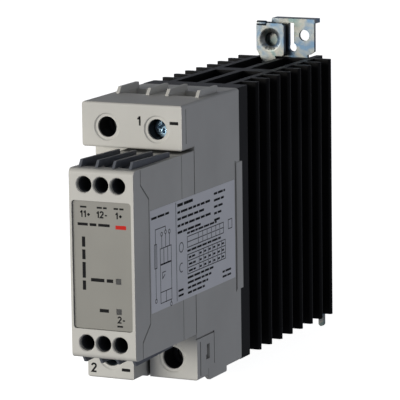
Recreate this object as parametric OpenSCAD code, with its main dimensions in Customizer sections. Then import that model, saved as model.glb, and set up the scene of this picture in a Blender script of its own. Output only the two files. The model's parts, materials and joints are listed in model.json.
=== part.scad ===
// Solid state relay for a 35 mm rail: finned heat sink, power housing and control module.
// Millimetres. X to the right seen from the front, Y from front to back, Z up.
// The origin is on the rail seat, at the middle of the rail's height and of the unit's width.

/* [Unit] */
// Width of the unit
unit_w = 35; // [34.5:0.1:36]
// Height of the heat sink and of the power housing
unit_h = 90; // [89:0.5:92]
// Gap left between pieces that lie side by side
gap = 0.1; // [0.05:0.01:0.15]

/* [Heat sink] */
// Depth of the extrusion, front face to back wall
sink_d = 77.7; // [76:0.1:80]
// Thickness of the front plate that carries the power stage
plate_t = 8.2; // [7.5:0.1:9]
// Thickness of a fin and of the back wall
fin_t = 2; // [1.6:0.1:2.2]
// Number of fins behind the front plate, the back wall included
fin_rows = 8; // [7:1:9]
// Distance from the middle web to an outer web
web_x = 10.2; // [10:0.1:10.6]
// Thickness of a web
web_t = 2.4; // [2:0.1:2.6]
// How far the back ribs stand out behind the back wall
rib_d = 7.8; // [7.6:0.1:8.5]
// Outer edge of a back rib, from the middle
rib_x = 10.7; // [10.6:0.1:11]
// Half height of the notch that the rail lies in
notch_h = 19.3; // [19:0.1:20]

/* [Rail clip] */
// Thickness of the bracket and of the latch
steel_t = 1.5; // [1.4:0.05:1.6]
// Half height of the rail
rail_h = 17.5; // [17.5:0.1:17.6]
// Height of the bracket's top flange above the heat sink
ear_h = 13.4; // [13:0.1:14]
// Reach of the bracket's feet below the heat sink
foot_h = 5; // [4.5:0.1:5.5]
// Travel of the latch
latch_travel = 3; // [2.8:0.1:3]

/* [Power housing] */
// Depth of the housing from its front wall to the heat sink
housing_d = 33.9; // [33:0.1:35]
// How far the terminal blocks stand out in front of the housing
block_d = 9; // [8.5:0.1:9.5]
// Height of a terminal block
block_h = 14.5; // [14:0.1:15]
// Wall thickness of the housings
wall = 1.8; // [1.6:0.1:2]
// Radius of a power screw's access hole
access_r = 3.3; // [3.2:0.05:3.4]
// Distance of the power screws from the middle
terminal_x = 8.75; // [8.7:0.05:8.8]
// Distance of the power screws from the housing's top or bottom
terminal_inset = 7.9; // [7.8:0.1:8]
// Height of the shrouds beside the power wire entries
shroud_h = 2.1; // [1.5:0.1:2.5]

/* [Control module] */
// Width of the control module
module_w = 22; // [21.8:0.1:22.5]
// Height of the control module
module_h = 59.2; // [59:0.1:59.4]
// Depth of the control module in front of the power housing
module_d = 43.6; // [43:0.1:44.5]
// Radius of a control screw's access hole
small_access_r = 2.55; // [2.45:0.05:2.6]
// Distance between control terminals
small_pitch = 5.75; // [5.7:0.05:5.8]
// Distance of the control screws from the module's middle height
small_z = 24.75; // [24.6:0.05:24.9]
// Height of the dividers above the module's top
divider_h = 2.2; // [1.8:0.1:2.4]

/* [Hidden] */
$fn = 64;

half_w = unit_w / 2;
half_h = unit_h / 2;

// Heat sink, from front to back
sink_back = -steel_t;
sink_front = sink_back - sink_d;
fin_pitch = (sink_d - plate_t) / fin_rows;
plate_back = sink_front + plate_t;
wall_front = sink_back - fin_t;
rib_back = sink_back + rib_d;
rib_t = 2.2;
plate_x = half_w - 0.5;

// Cross web between the outer webs
cross_mid = sink_back - 35.5;
cross_t = 6;

// Latch strap in the left channel, in front of the back wall
strap_x = -4.7;
strap_w = 5;
strap_back = wall_front - 0.2;
strap_front = strap_back - steel_t;
tab_w = 10.4;
tab_low = half_h + 1.2;
tab_top = half_h + 12;
hook_low = rail_h - 1.7;
hook_ledge = rail_h + 0.4;
shelf_z = 24;
pin_r = 1;
pin_z = 40;
spring_r = 1.8;
spring_wire = 0.28;
spring_y = strap_front - 2.6;
window_low = 14;
window_high = 26.5;

// Power housing
front_y = sink_front - housing_d;
block_front = front_y - block_d;
block_low = half_h - block_h;
terminal_z = half_h - terminal_inset;
inner_x = half_w - wall;
inner_front = front_y + wall;
inner_h = half_h - wall;
deck_z = block_low - wall;
entry_x = 4.6;
entry_front = block_front + 20.4;
entry_back = entry_front + 10.4;
shroud_front = block_front + 19.4;
shroud_back = block_front + 33;
shroud_t = 1.1;
shroud_x = 5.3;
low_shroud_h = 1.4;
low_access_z = half_h - 6.9;
low_access_r = 3.65;
edge_r = 1;
front_r = 0.8;
arm_t = 0.7;
arm_half = 21;
arm_mid = 0;

// Power terminals, front to back along the screw
screw_r = 2.5;
guide_r = 4.15;
guide_low = 1.2;
guide_high = 10.4;
power_head_front = block_front + 5;
power_head_back = power_head_front + 3.5;
power_head_r = 3;
cage_travel = 5;
cage_wall = 1.5;
bar_front = entry_front - 1.8;
bar_back = entry_front;
cage_inner_front = bar_front - 1.2;
cage_inner_back = entry_back - 0.4;
cage_inner_x = 4.75;
cage_half_z = 4.2;
power_screw_end = cage_inner_front - 0.2;
chamber_front = cage_inner_front - cage_wall - cage_travel - 0.5;
chamber_back = cage_inner_back + cage_wall + 0.6;

// Control module
module_right = half_w;
module_left = module_right - module_w;
module_mid = (module_left + module_right) / 2 - 0.1;
module_front = front_y - module_d;
module_top = module_h / 2;
module_wall = 1.5;
seam_near = module_front + 4.9;
seam_far = module_front + 10.4;
seam_z_out = 24.4;
seam_z_in = 19.4;
small_x = [for (i = [-1 : 1]) module_mid + i * small_pitch];
tblock_front = module_front + 7;
tblock_back = module_front + 28.5;
tblock_low = 18.6;
tblock_x = 9.35;
small_head_front = tblock_front + 2.3;
small_head_back = small_head_front + 1.9;
small_head_r = 2.1;
small_screw_r = 1.5;
small_travel = 2.5;
small_cage_wall = 0.8;
small_chamber_front = module_front + 12.3;
small_chamber_back = module_front + 24;
small_cage_front = small_chamber_front + small_travel + 0.5;
small_cage_back = small_chamber_back - 0.5;
small_cage_x = 2.1;
small_cage_z = 2.9;
contact_front = small_cage_front + small_cage_wall + 1.9;
contact_t = 0.8;
divider_t = 0.9;
opening_x = 9.25;
lip_t = 1.4;
nose_x = 8.8;
nose_z = 3.2;

// Front label, its recess and the two indicator windows
label_x = module_mid;
label_z = -0.3;
label_w = 20;
label_h = 39.8;
recess_d = 0.9;
label_t = 0.35;
window_x = module_mid + 5.3;
window_z = [-4.85, -14.3];
window_w = 1.7;

// Boards, front to back
control_board_front = module_front + 30.1;
board_t = 1.6;
control_board_back = control_board_front + board_t;
power_board_front = sink_front - 19.7;
power_board_back = power_board_front + board_t;
pad_t = 0.2;
base_t = 3;
base_back = sink_front - pad_t;
base_front = base_back - base_t;
substrate_t = 0.6;
substrate_front = base_front - substrate_t;
chip_t = 0.4;
mount_screw_x = 11;
mount_screw_z = 26.5;

steel = [0.72, 0.73, 0.72];
shell_colour = [0.83, 0.82, 0.78];
slate = [0.33, 0.34, 0.37];
copper = [0.78, 0.46, 0.3];

// A block between three pairs of limits
module span(x, y, z) {
  translate([x[0], y[0], z[0]]) cube([x[1] - x[0], y[1] - y[0], z[1] - z[0]]);
}

// A block with its four edges along Y rounded
module round_span(x, y, z, r) {
  w = x[1] - x[0];
  h = z[1] - z[0];
  translate([x[0], y[1], z[0]]) rotate([90, 0, 0]) linear_extrude(y[1] - y[0])
    round_square(w, h, r);
}

module round_square(w, h, r) {
  translate([r, 0]) square([w - 2 * r, h]);
  translate([0, r]) square([w, h - 2 * r]);
  for (x = [r, w - r], y = [r, h - r]) translate([x, y]) circle(r);
}

// A rod along Y between two depths
module rod(x, z, y, r, r2 = -1) {
  translate([x, y[0], z]) rotate([-90, 0, 0])
    cylinder(h = y[1] - y[0], r1 = r, r2 = r2 < 0 ? r : r2);
}

// A flat outline in Y and Z, given a width along X
module side_plate(x, points) {
  translate([x[0], 0, 0]) rotate([90, 0, 90]) linear_extrude(x[1] - x[0]) polygon(points);
}

// ---------------------------------------------------------------- heat sink

module fin_outline() {
  for (side = [-1, 1], row = [1 : fin_rows - 1])
    translate([0, plate_back + row * fin_pitch - fin_t / 2]) {
      x0 = side > 0 ? web_x : fin_t / 2 - half_w;
      translate([x0, -fin_t / 2]) square([half_w - fin_t / 2 - web_x, fin_t]);
      translate([side * (half_w - fin_t / 2), 0]) circle(fin_t / 2);
    }
}

module sink_outline() {
  translate([-plate_x, sink_front]) round_square(2 * plate_x, plate_t, 0.5);
  for (x = [-web_x, 0, web_x])
    translate([x - web_t / 2, plate_back - 1]) square([web_t, sink_back - plate_back]);
  translate([-web_x, cross_mid - cross_t / 2]) square([2 * web_x, cross_t]);
  translate([-half_w, wall_front]) round_square(unit_w, fin_t, 0.8);
  fin_outline();
  for (side = [-1, 1])
    translate([side * (rib_x - rib_t / 2) - rib_t / 2, sink_back - 1])
      square([rib_t, rib_d + 1]);
}

module heatsink() {
  color([0.09, 0.09, 0.1]) difference() {
    translate([0, 0, -half_h]) linear_extrude(unit_h) sink_outline();
    span([-half_w, half_w], [sink_back, rib_back + 1], [-notch_h, notch_h]);
    span([strap_x - 2.9, strap_x + 2.9], [wall_front - 1, sink_back + 1],
      [window_low, window_high]);
    for (x = [-1, 1], z = [-1, 1])
      rod(x * mount_screw_x, z * mount_screw_z, [sink_front - 1, plate_back - 1], 2);
    for (z = [-1, 1]) rod(bracket_screw_x, z * bracket_screw_z, [wall_front - 1, 0], 1.5);
    translate([-half_w, spring_y, pin_z]) rotate([0, 90, 0])
      cylinder(h = half_w - web_t / 2, r = pin_r);
  }
}

// ---------------------------------------------------------------- rail clip

bracket_x = rib_x - rib_t - 0.2;
ear_low = half_h + 1.5;
ear_wide = 10.9;
slot_x = 2.35;
slot_r = 0.95;
bracket_screw_x = 4.6;
bracket_screw_z = 33;
foot_x = 12.8;
foot_r = 1;
foot_bar_low = -half_h - 1.6;

module bracket_plate() {
  x1 = ear_wide;
  x0 = ear_wide - 1.7;
  polygon([[-bracket_x, -half_h - 0.2], [bracket_x, -half_h - 0.2], [bracket_x, ear_low - 0.5],
    [x0, ear_low - 0.5], [x1, ear_low + 0.6], [x1, half_h + ear_h], [-foot_x / 2.5, half_h + ear_h],
    [-foot_x / 2.5, half_h + ear_h - 1.5], [-x1, half_h + ear_h - 1.5], [-x1, ear_low + 0.6],
    [-x0, ear_low - 0.5], [-bracket_x, ear_low - 0.5]]);
}

module foot_outline() {
  translate([-foot_x - foot_r, foot_bar_low]) square([2 * (foot_x + foot_r), 1.5]);
  for (side = [-1, 1]) {
    translate([side * foot_x - foot_r, -half_h - foot_h + foot_r])
      square([2 * foot_r, foot_h - foot_r - 0.1]);
    translate([side * foot_x, -half_h - foot_h + foot_r]) circle(foot_r);
  }
}

// Fixed hook behind the lower lip of the rail
module fixed_hook(x) {
  side_plate([x - 2, x + 2], [[-steel_t, -rail_h - 2.2], [2.9, -rail_h - 2.2],
    [2.9, -rail_h + 0.9], [2.2, -rail_h + 1.3], [1.4, -rail_h + 0.9], [1.4, -rail_h - 0.6],
    [-steel_t, -rail_h - 0.6]]);
}

module rail_bracket() {
  color(steel) difference() {
    union() {
      translate([0, 0, 0]) rotate([90, 0, 0]) linear_extrude(steel_t) {
        bracket_plate();
        foot_outline();
      }
      span([-foot_x / 2.5, ear_wide + 0.2], [-steel_t, 3.4],
        [half_h + ear_h - steel_t, half_h + ear_h]);
      for (x = [-6, 6]) fixed_hook(x);
    }
    span([slot_x - slot_r, slot_x + slot_r], [-3, 1], [ear_low + 1.7, half_h + ear_h - steel_t]);
    rod(slot_x + 0.4, ear_low + 1.9, [-3, 1], 1.5);
    rod(7.1, half_h + 7.7, [-3, 1], 1.95);
    span([strap_x - 2.9, strap_x + 2.9], [-3, 1], [window_low, window_high]);
    for (z = [-1, 1]) rod(bracket_screw_x, z * bracket_screw_z, [-3, 1], 1.7);
  }
}

module bracket_screws() {
  color(steel) for (z = [-1, 1]) translate([bracket_screw_x, 0, z * bracket_screw_z]) difference() {
    union() {
      rod(0, 0, [0, 2], 2.8, 2.5);
      rod(0, 0, [-steel_t - 4, 0], 1.45);
    }
    for (a = [0, 90]) rotate([0, a, 0]) span([-1.5, 1.5], [0.9, 3], [-0.3, 0.3]);
  }
}

module strap_outline() {
  x0 = strap_x - strap_w / 2;
  x1 = strap_x + strap_w / 2;
  t0 = strap_x - 0.5 - tab_w / 2 + 1;
  t1 = t0 + tab_w;
  polygon([[x0, window_low + 1.5], [x1, window_low + 1.5], [x1, tab_low - 0.6], [t1 - 0.6, tab_low - 0.6],
    [t1, tab_low], [t1, tab_top - 0.7], [t1 - 0.7, tab_top], [t0 + 0.7, tab_top], [t0, tab_top - 0.7],
    [t0, tab_low + 1.4], [x0, tab_low - 2.2]]);
}

module rail_latch() {
  hole_x = strap_x + 0.5;
  hole_z = half_h + 6.3;
  color(steel) difference() {
    union() {
      translate([0, strap_back, 0]) rotate([90, 0, 0]) linear_extrude(steel_t) strap_outline();
      rod(hole_x, hole_z, [strap_back - 0.1, strap_back + 1.7], 3.5, 3.3);
      translate([strap_x - 4.4, strap_back - steel_t / 2 - 0.3, tab_top - 0.1]) rotate([0, 90, 0])
        cylinder(h = 3.4, r = 0.9);
      span([strap_x - strap_w / 2, strap_x + strap_w / 2], [spring_y - 2.6, strap_front],
        [shelf_z - steel_t, shelf_z]);
      side_plate([strap_x - strap_w / 2, strap_x + strap_w / 2], [[strap_back, hook_ledge],
        [1.3, hook_ledge], [1.3, hook_low + 0.5], [1.8, hook_low], [2.8, hook_low + 1.4],
        [2.8, hook_ledge + steel_t], [strap_back, hook_ledge + steel_t]]);
    }
    // Tool hole, dished at the front and drawn out into a collar behind
    rod(hole_x, hole_z, [strap_front - 2, strap_back + 2], 2.4);
    rod(hole_x, hole_z, [strap_front - 0.01, strap_front + 1], 4.2, 2.4);
  }
}

spring_turns = 7;
spring_low = shelf_z;
spring_high = pin_z - pin_r;
ring_sides = 8;
rings_per_turn = 14;

function spring_centre(a) = [spring_r * cos(a), spring_r * sin(a),
  spring_low + spring_wire + (spring_high - spring_low - 2 * spring_wire) * a / (360 * spring_turns)];

module latch_spring() {
  rings = spring_turns * rings_per_turn;
  points = [for (i = [0 : rings], k = [0 : ring_sides - 1])
    let (a = 360 * i / rings_per_turn, b = 360 * k / ring_sides, c = spring_centre(a))
    c + spring_wire * [cos(a) * cos(b), sin(a) * cos(b), sin(b)]];
  sides = [for (i = [0 : rings - 1], k = [0 : ring_sides - 1])
    let (n = (k + 1) % ring_sides, p = i * ring_sides, q = p + ring_sides)
    [p + k, p + n, q + n, q + k]];
  ends = [[for (k = [ring_sides - 1 : -1 : 0]) k],
    [for (k = [0 : ring_sides - 1]) rings * ring_sides + k]];
  color([0.6, 0.6, 0.62]) translate([strap_x, spring_y, 0])
    polyhedron(points = points, faces = concat(sides, ends), convexity = 8);
}

module spring_pin() {
  color(steel) translate([-web_x - web_t / 2, spring_y, pin_z]) rotate([0, 90, 0])
    cylinder(h = web_x, r = pin_r);
}

// ---------------------------------------------------------------- power housing

// A block with its edges along Y rounded, and its front top and bottom edges as well
module soft_block(x, y, z) {
  w = z[1] - z[0];
  intersection() {
    round_span(x, y, z, edge_r);
    translate([x[0] - 1, y[0], z[0]]) rotate([90, 0, 90]) linear_extrude(x[1] - x[0] + 2) {
      translate([front_r, 0]) square([y[1] - y[0] + 1, w]);
      translate([0, front_r]) square([2 * front_r, w - 2 * front_r]);
      for (v = [front_r, w - front_r]) translate([front_r, v]) circle(front_r);
    }
  }
}

// Cutter that rounds an upright outer edge; the edge stands at x and y
module upright_cut(x, y, z, turn, r) {
  translate([x, y, z[0]]) rotate([0, 0, turn]) linear_extrude(z[1] - z[0]) difference() {
    translate([-1, -1]) square([r + 1, r + 1]);
    translate([r, r]) circle(r);
  }
}

// Low walls beside the wire entries, sloped at the front
module shroud(x, h, y) {
  side_plate([x - shroud_t / 2, x + shroud_t / 2], [[y[0], half_h - 1], [y[0], half_h + 0.3],
    [y[0] + 1.6, half_h + h], [y[1] - 0.3, half_h + h], [y[1], half_h + h - 0.3], [y[1], half_h - 1]]);
}

module shrouds(h, outer_x, y) {
  for (side = [-1, 1]) {
    shroud(side * (terminal_x - shroud_x), h, y);
    shroud(side * outer_x, h, y);
  }
}

// Room for the cage, the wire way above it and the screw's way in
module terminal_room(x, front, z = terminal_z, r = access_r) {
  span([x - cage_inner_x - cage_wall - 0.25, x + cage_inner_x + cage_wall + 0.25],
    [front + guide_high, chamber_back], [block_low, half_h - 3]);
  span([x - entry_x, x + entry_x], [entry_front, entry_back], [half_h - 4, half_h + 1]);
  rod(x, z, [front - 1, front + guide_low + 1], r);
  rod(x, z, [front + guide_low, front + guide_high + 1], guide_r + 0.05);
  rod(x, z, [front - 0.01, front + 0.4], r + 1.2, r + 0.8);
}

// Dark sleeve behind a power screw's access hole, with a bore for the shank at its back end
module screw_guide(x, z, front, r = access_r) {
  difference() {
    rod(x, z, [front + guide_low + 0.05, front + guide_high - 0.05], guide_r);
    rod(x, z, [front, front + power_head_back - block_front], r);
    rod(x, z, [front, front + guide_high + 1], screw_r + 0.02);
  }
}

module screw_guides() {
  color([0.08, 0.08, 0.09]) {
    for (side = [-1, 1]) screw_guide(side * terminal_x, terminal_z, block_front);
    screw_guide(-terminal_x, -terminal_z, block_front);
    screw_guide(terminal_x, -low_access_z, front_y, low_access_r);
  }
}

module power_housing() {
  side_groove_y = block_front + 3.1;
  color(shell_colour) difference() {
    union() {
      soft_block([-half_w, half_w], [front_y, sink_front], [-half_h, half_h]);
      soft_block([-half_w, half_w], [block_front, front_y + 6], [block_low, half_h]);
      soft_block([-half_w + 0.4, -0.7], [block_front, front_y + 2], [-half_h + 0.5, -block_low]);
      shrouds(shroud_h, terminal_x + shroud_x, [shroud_front - 0.8, shroud_back]);
      mirror([0, 0, 1]) shrouds(low_shroud_h, half_w - shroud_t / 2,
        [shroud_front - 2.6, shroud_back - 1.8]);
      for (side = [-1, 1]) span([side * (half_w - arm_t / 2 + 0.3) - arm_t / 2,
        side * (half_w - arm_t / 2 + 0.3) + arm_t / 2],
        [sink_front - 3, sink_front + 1.4], [arm_mid - arm_half, arm_mid + arm_half]);
    }
    // Hollow for the power stage, open towards the heat sink
    span([-inner_x, inner_x], [inner_front, sink_front + 0.1], [-deck_z, deck_z]);
    span([-inner_x, inner_x], [chamber_back + 1, sink_front + 0.1], [-inner_h, inner_h]);
    for (side = [-1, 1]) terminal_room(side * terminal_x, block_front);
    mirror([0, 0, 1]) terminal_room(-terminal_x, block_front);
    mirror([0, 0, 1]) terminal_room(terminal_x, front_y, low_access_z, low_access_r);
    // Gap between the lower terminal places, and the rounded edge beside it
    span([-0.7, 0.3], [front_y - 1, front_y + 4], [-half_h - 1, -block_low]);
    upright_cut(0.3, front_y, [-half_h - 1, -block_low], 0, front_r);
    // Ways for the busbars through the decks
    busbar_way();
    rotate([0, 180, 0]) busbar_way();
    // Way for the connector between the boards
    span([module_mid - 5.2, module_mid + 5.2], [front_y - 1, inner_front + 1], [-3.4, 3.4]);
    // Grooves on the sides
    for (side = [-1, 1]) {
      span([side * half_w - 0.4, side * half_w + 0.4], [side_groove_y - 0.2, side_groove_y + 0.2],
        [block_low + 2.1, half_h - 1.4]);
      span([side * half_w - 0.4, side * half_w + 0.4], [front_y + 2.2, front_y + 2.8],
        [-half_h + 1.2, -block_low - 2.2]);
      span([side * half_w - 1.7, side * half_w + 1.7], [front_y + 7.3, front_y + 9.5],
        [-half_h + 5.7, -half_h + 10.6]);
      span([side * half_w - 1.7, side * half_w + 1.7], [front_y + 6.7, front_y + 9],
        [-half_h + 5.7, -half_h + 7.3]);
      span([side * half_w - 0.5, side * half_w + 0.5], [front_y - 0.1, front_y + 13.1],
        [-block_low - 1, -block_low - 0.4]);
      span([side * half_w - 0.4, side * half_w + 0.4], [front_y + 12.7, front_y + 13.1],
        [-half_h + 3.3, -block_low - 0.5]);
      span([side * half_w - 0.2, side * half_w + 0.2], [front_y + 8.3, front_y + 8.6],
        [-half_h - 2, -half_h + 2.5]);
      span([side * half_w - 0.7, side * half_w + 0.7], [sink_front - 3.6, sink_front - 3],
        [arm_mid - arm_half - 0.6, arm_mid + arm_half + 0.6]);
    }
  }
}

bar_half = 4.5;
bar_turn = deck_z - 3.4;

module busbar_way() {
  span([terminal_x - bar_half - 0.2, terminal_x + bar_half + 0.2],
    [bar_front - 0.2, bar_back + 0.2], [deck_z - 1, block_low + 1]);
}

// ---------------------------------------------------------------- power terminals

module power_screw() {
  color([0.75, 0.76, 0.78]) difference() {
    union() {
      rod(0, 0, [power_head_front, power_head_back - 0.1], power_head_r);
      rod(0, 0, [power_head_back - 0.2, power_screw_end], screw_r - 0.06);
    }
    for (a = [0, 90]) rotate([0, a, 0])
      span([-1.9, 1.9], [power_head_front - 1, power_head_front + 1.5], [-0.45, 0.45]);
    for (a = [45, 135]) rotate([0, a, 0])
      span([-1.6, 1.6], [power_head_front - 1, power_head_front + 0.4], [-0.14, 0.14]);
  }
}

module power_screw_upper() { translate([terminal_x, 0, terminal_z]) power_screw(); }
module power_screw_lower() { translate([-terminal_x, 0, -terminal_z]) power_screw(); }

// Box clamp: a loop of steel that the screw draws forward over the busbar and the wire
module power_cage() {
  outer = cage_inner_x + cage_wall;
  color([0.68, 0.67, 0.62]) difference() {
    span([-outer, outer], [cage_inner_front - cage_wall, cage_inner_back + cage_wall],
      [-cage_half_z, cage_half_z]);
    span([-cage_inner_x, cage_inner_x], [cage_inner_front, cage_inner_back], [-9, 9]);
    rod(0, 0, [cage_inner_front - 3, cage_inner_front + 1], screw_r);
  }
}

module power_cage_upper() { translate([terminal_x, 0, terminal_z]) power_cage(); }
module power_cage_lower() { translate([-terminal_x, 0, -terminal_z]) power_cage(); }

// Copper strip from the terminal down past the deck and back onto the power stage
module busbar() {
  x = [terminal_x - bar_half, terminal_x + bar_half];
  t = bar_back - bar_front;
  down_y = sink_front - 11.7;
  foot_z = bar_turn - 10.6;
  color(copper) {
    span(x, [bar_front, bar_back], [bar_turn, half_h - 3.6]);
    span(x, [bar_front, down_y + t], [bar_turn, bar_turn + t]);
    span(x, [down_y, down_y + t], [foot_z, bar_turn + t]);
    span([terminal_x - bar_half, terminal_x + 2.8], [down_y, substrate_front], [foot_z, foot_z + t]);
  }
}

module busbar_upper() { busbar(); }
module busbar_lower() { rotate([0, 180, 0]) busbar(); }

// ---------------------------------------------------------------- power stage

module base_plate() {
  color(copper) difference() {
    round_span([-15, 15], [base_front, base_back], [-deck_z + 0.6, deck_z - 0.6], 1.5);
    for (x = [-1, 1], z = [-1, 1])
      rod(x * mount_screw_x, z * mount_screw_z, [base_front - 1, base_back + 1], 2.15);
  }
}

module thermal_pad() {
  color([0.75, 0.75, 0.72]) difference() {
    round_span([-14.5, 14.5], [base_back, sink_front], [-deck_z + 1, deck_z - 1], 1.5);
    for (x = [-1, 1], z = [-1, 1])
      rod(x * mount_screw_x, z * mount_screw_z, [base_back - 1, sink_front + 1], 2.4);
  }
}

module substrate() {
  color([0.92, 0.92, 0.9]) span([-13, 13], [substrate_front, base_front], [-21, 21]);
}

module thyristors() {
  color([0.35, 0.36, 0.4]) for (z = [-6, 6])
    span([-4.5, 4.5], [substrate_front - chip_t, substrate_front], [z - 4.5, z + 4.5]);
}

module module_frame() {
  color([0.16, 0.16, 0.17]) difference() {
    span([-14.6, 14.6], [base_front - 4.5, base_front], [-22.6, 22.6]);
    span([-13.2, 13.2], [base_front - 5, base_front + 1], [-21.2, 21.2]);
  }
}

module module_screws() {
  color(steel) for (x = [-1, 1], z = [-1, 1])
    translate([x * mount_screw_x, 0, z * mount_screw_z]) difference() {
      union() {
        rod(0, 0, [base_front - 2.4, base_front], 3.2);
        rod(0, 0, [base_front - 0.1, sink_front + 6.5], 1.95);
      }
      rotate([-90, 0, 0]) translate([0, 0, base_front - 3]) cylinder(h = 2, r = 1.6, $fn = 6);
    }
}

module power_board() {
  color([0.1, 0.35, 0.2])
    span([-14.8, 14.8], [power_board_front, power_board_back], [-bar_turn + 1, bar_turn - 1]);
}

module gate_driver() {
  color([0.12, 0.12, 0.13])
    span([-12, -5.5], [power_board_front - 3.5, power_board_front], [6, 14]);
}

module snubber_capacitor() {
  color([0.75, 0.6, 0.2])
    round_span([2.5, 14], [power_board_back, power_board_back + 6.5], [-16, -6], 0.6);
}

module snubber_resistor() {
  color([0.5, 0.62, 0.68]) {
    translate([-11.6, power_board_back + 2.3, -6]) cylinder(h = 14, r = 2.2);
    for (z = [-7.6, 8.0]) translate([-11.6, power_board_back + 2.3, z]) cylinder(h = 1.6, r = 0.4);
  }
}

module varistor() {
  color([0.2, 0.3, 0.6]) rod(-1.6, 2, [power_board_back, power_board_back + 4.2], 6);
}

module current_sensor() {
  t = bar_back - bar_front;
  low = bar_turn - 3.1;
  color([0.15, 0.15, 0.16]) difference() {
    span([terminal_x - 6.4, terminal_x + 6.4], [power_board_back + 0.4, power_board_back + 3.2],
      [low, deck_z - 0.05]);
    span([terminal_x - 4.7, terminal_x + 4.7], [power_board_back - 1, power_board_back + 9],
      [bar_turn - 0.4, bar_turn + t + 0.1]);
  }
}

// ---------------------------------------------------------------- control module

module module_form(x, y, z) {
  round_span(x, y, z, 0.8);
}

// The cover's side outline ends in a stepped seam
module cover_outline(inset) {
  e = inset;
  top = module_top + 2;
  polygon([[module_front - 2, -top], [seam_near - e, -top], [seam_near - e, -seam_z_out + e],
    [seam_far - e, -seam_z_in + e], [seam_far - e, seam_z_in - e], [seam_near - e, seam_z_out - e],
    [seam_near - e, top], [module_front - 2, top]]);
}

module cover_zone(inset) {
  translate([module_left - 1, 0, 0]) rotate([90, 0, 90])
    linear_extrude(module_w + 2) cover_outline(inset);
}

// Whole outside of the module, with its front top and bottom edges rounded
module module_outside() {
  r = 1.6;
  translate([module_left, 0, 0]) rotate([90, 0, 90]) linear_extrude(module_w)
    translate([module_front, -module_top]) {
      translate([r, 0]) square([module_d - gap - r, module_h]);
      translate([0, r]) square([r * 2, module_h - 2 * r]);
      for (z = [r, module_h - r]) translate([r, z]) circle(r);
    }
}

module control_housing() {
  xi = [module_left + module_wall, module_right - module_wall];
  color(shell_colour) difference() {
    module_outside();
    cover_zone(-gap / 2);
    span(xi, [module_front - 1, front_y - module_wall], [-module_top + module_wall,
      module_top - module_wall]);
    for (s = [-1, 1]) span([module_mid - opening_x, module_mid + opening_x],
      [module_front - 1, tblock_back + 1.6], [s > 0 ? module_top - 3 : -module_top - 1,
      s > 0 ? module_top + 1 : -module_top + 3]);
    span([module_mid - 5.2, module_mid + 5.2], [front_y - 3, front_y + 1], [-3.4, 3.4]);
    span([module_right - 0.3, module_right + 1], [block_front - 0.6, block_front - 0.3],
      [-module_top - 1, module_top + 1]);
    for (x = [module_left - 1, module_right - 0.4]) {
      intersection() {
        cover_zone(-0.35);
        span([x, x + 1.4], [module_front, block_front], [-module_top - 1, module_top + 1]);
      }
      span([x, x + 1.4], [front_y - 0.45, front_y + 1], [-module_top - 1, module_top + 1]);
    }
  }
}

module label_recess(w, h, y) {
  round_span([label_x - w / 2, label_x + w / 2], y, [label_z - h / 2, label_z + h / 2], 1);
}

module control_cover() {
  xi = [module_left + module_wall, module_right - module_wall];
  thick = module_front + 6.6;
  color(shell_colour) difference() {
    intersection() {
      module_outside();
      cover_zone(gap / 2);
    }
    span(xi, [module_front + 2.4, seam_far + 1], [-seam_z_in + 0.4, seam_z_in - 0.4]);
    for (s = [-1, 1]) {
      span(xi, [thick - 1.9, seam_far + 1], [s > 0 ? seam_z_in - 1 : -module_top + module_wall,
        s > 0 ? module_top - module_wall : -seam_z_in + 1]);
      round_span([module_mid - nose_x - 0.1, module_mid + nose_x + 0.1],
        [module_front + lip_t, thick + 1],
        [s * small_z - nose_z - 0.1, s * small_z + nose_z + 0.1], 1);
      for (x = small_x) {
        rod(x, s * small_z, [module_front - 1, thick], small_access_r);
        rod(x, s * small_z, [module_front - 0.01, module_front + 0.3], small_access_r + 0.3,
          small_access_r);
      }
    }
    label_recess(label_w + 0.3, label_h + 0.3, [module_front - 1, module_front + recess_d]);
    for (z = window_z) span([window_x - window_w / 2 - 0.1, window_x + window_w / 2 + 0.1],
      [module_front, module_front + 4], [z - window_w / 2 - 0.1, z + window_w / 2 + 0.1]);
  }
}

module front_label() {
  color([0.66, 0.65, 0.62]) difference() {
    label_recess(label_w, label_h, [module_front + recess_d - label_t, module_front + recess_d]);
    for (z = window_z) span([window_x - window_w / 2 - 0.05, window_x + window_w / 2 + 0.05],
      [module_front, module_front + 4], [z - window_w / 2 - 0.05, z + window_w / 2 + 0.05]);
  }
}

// Printed label on the right side, across both housings
module side_label() {
  color([0.7, 0.7, 0.72]) {
    span([half_w, half_w + 0.15], [seam_far + 0.6, block_front - 4.9], [-16.6, 15.7]);
    span([half_w, half_w + 0.15], [block_front - 4.8, sink_front - 4.4], [-16.6, 15.7]);
  }
}

// One divider between the control wire entries, sloped at its front end
module divider(x) {
  y0 = module_front + 3;
  top = module_top + divider_h;
  side_plate([x - divider_t / 2, x + divider_t / 2], [[y0, module_top + 0.05],
    [y0 + 1.5, top], [tblock_back + 1.4, top - 0.7], [tblock_back + 1.4, module_top - 1],
    [tblock_front + 1, module_top - 1], [tblock_front + 1, module_top + 0.05]]);
}

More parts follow.
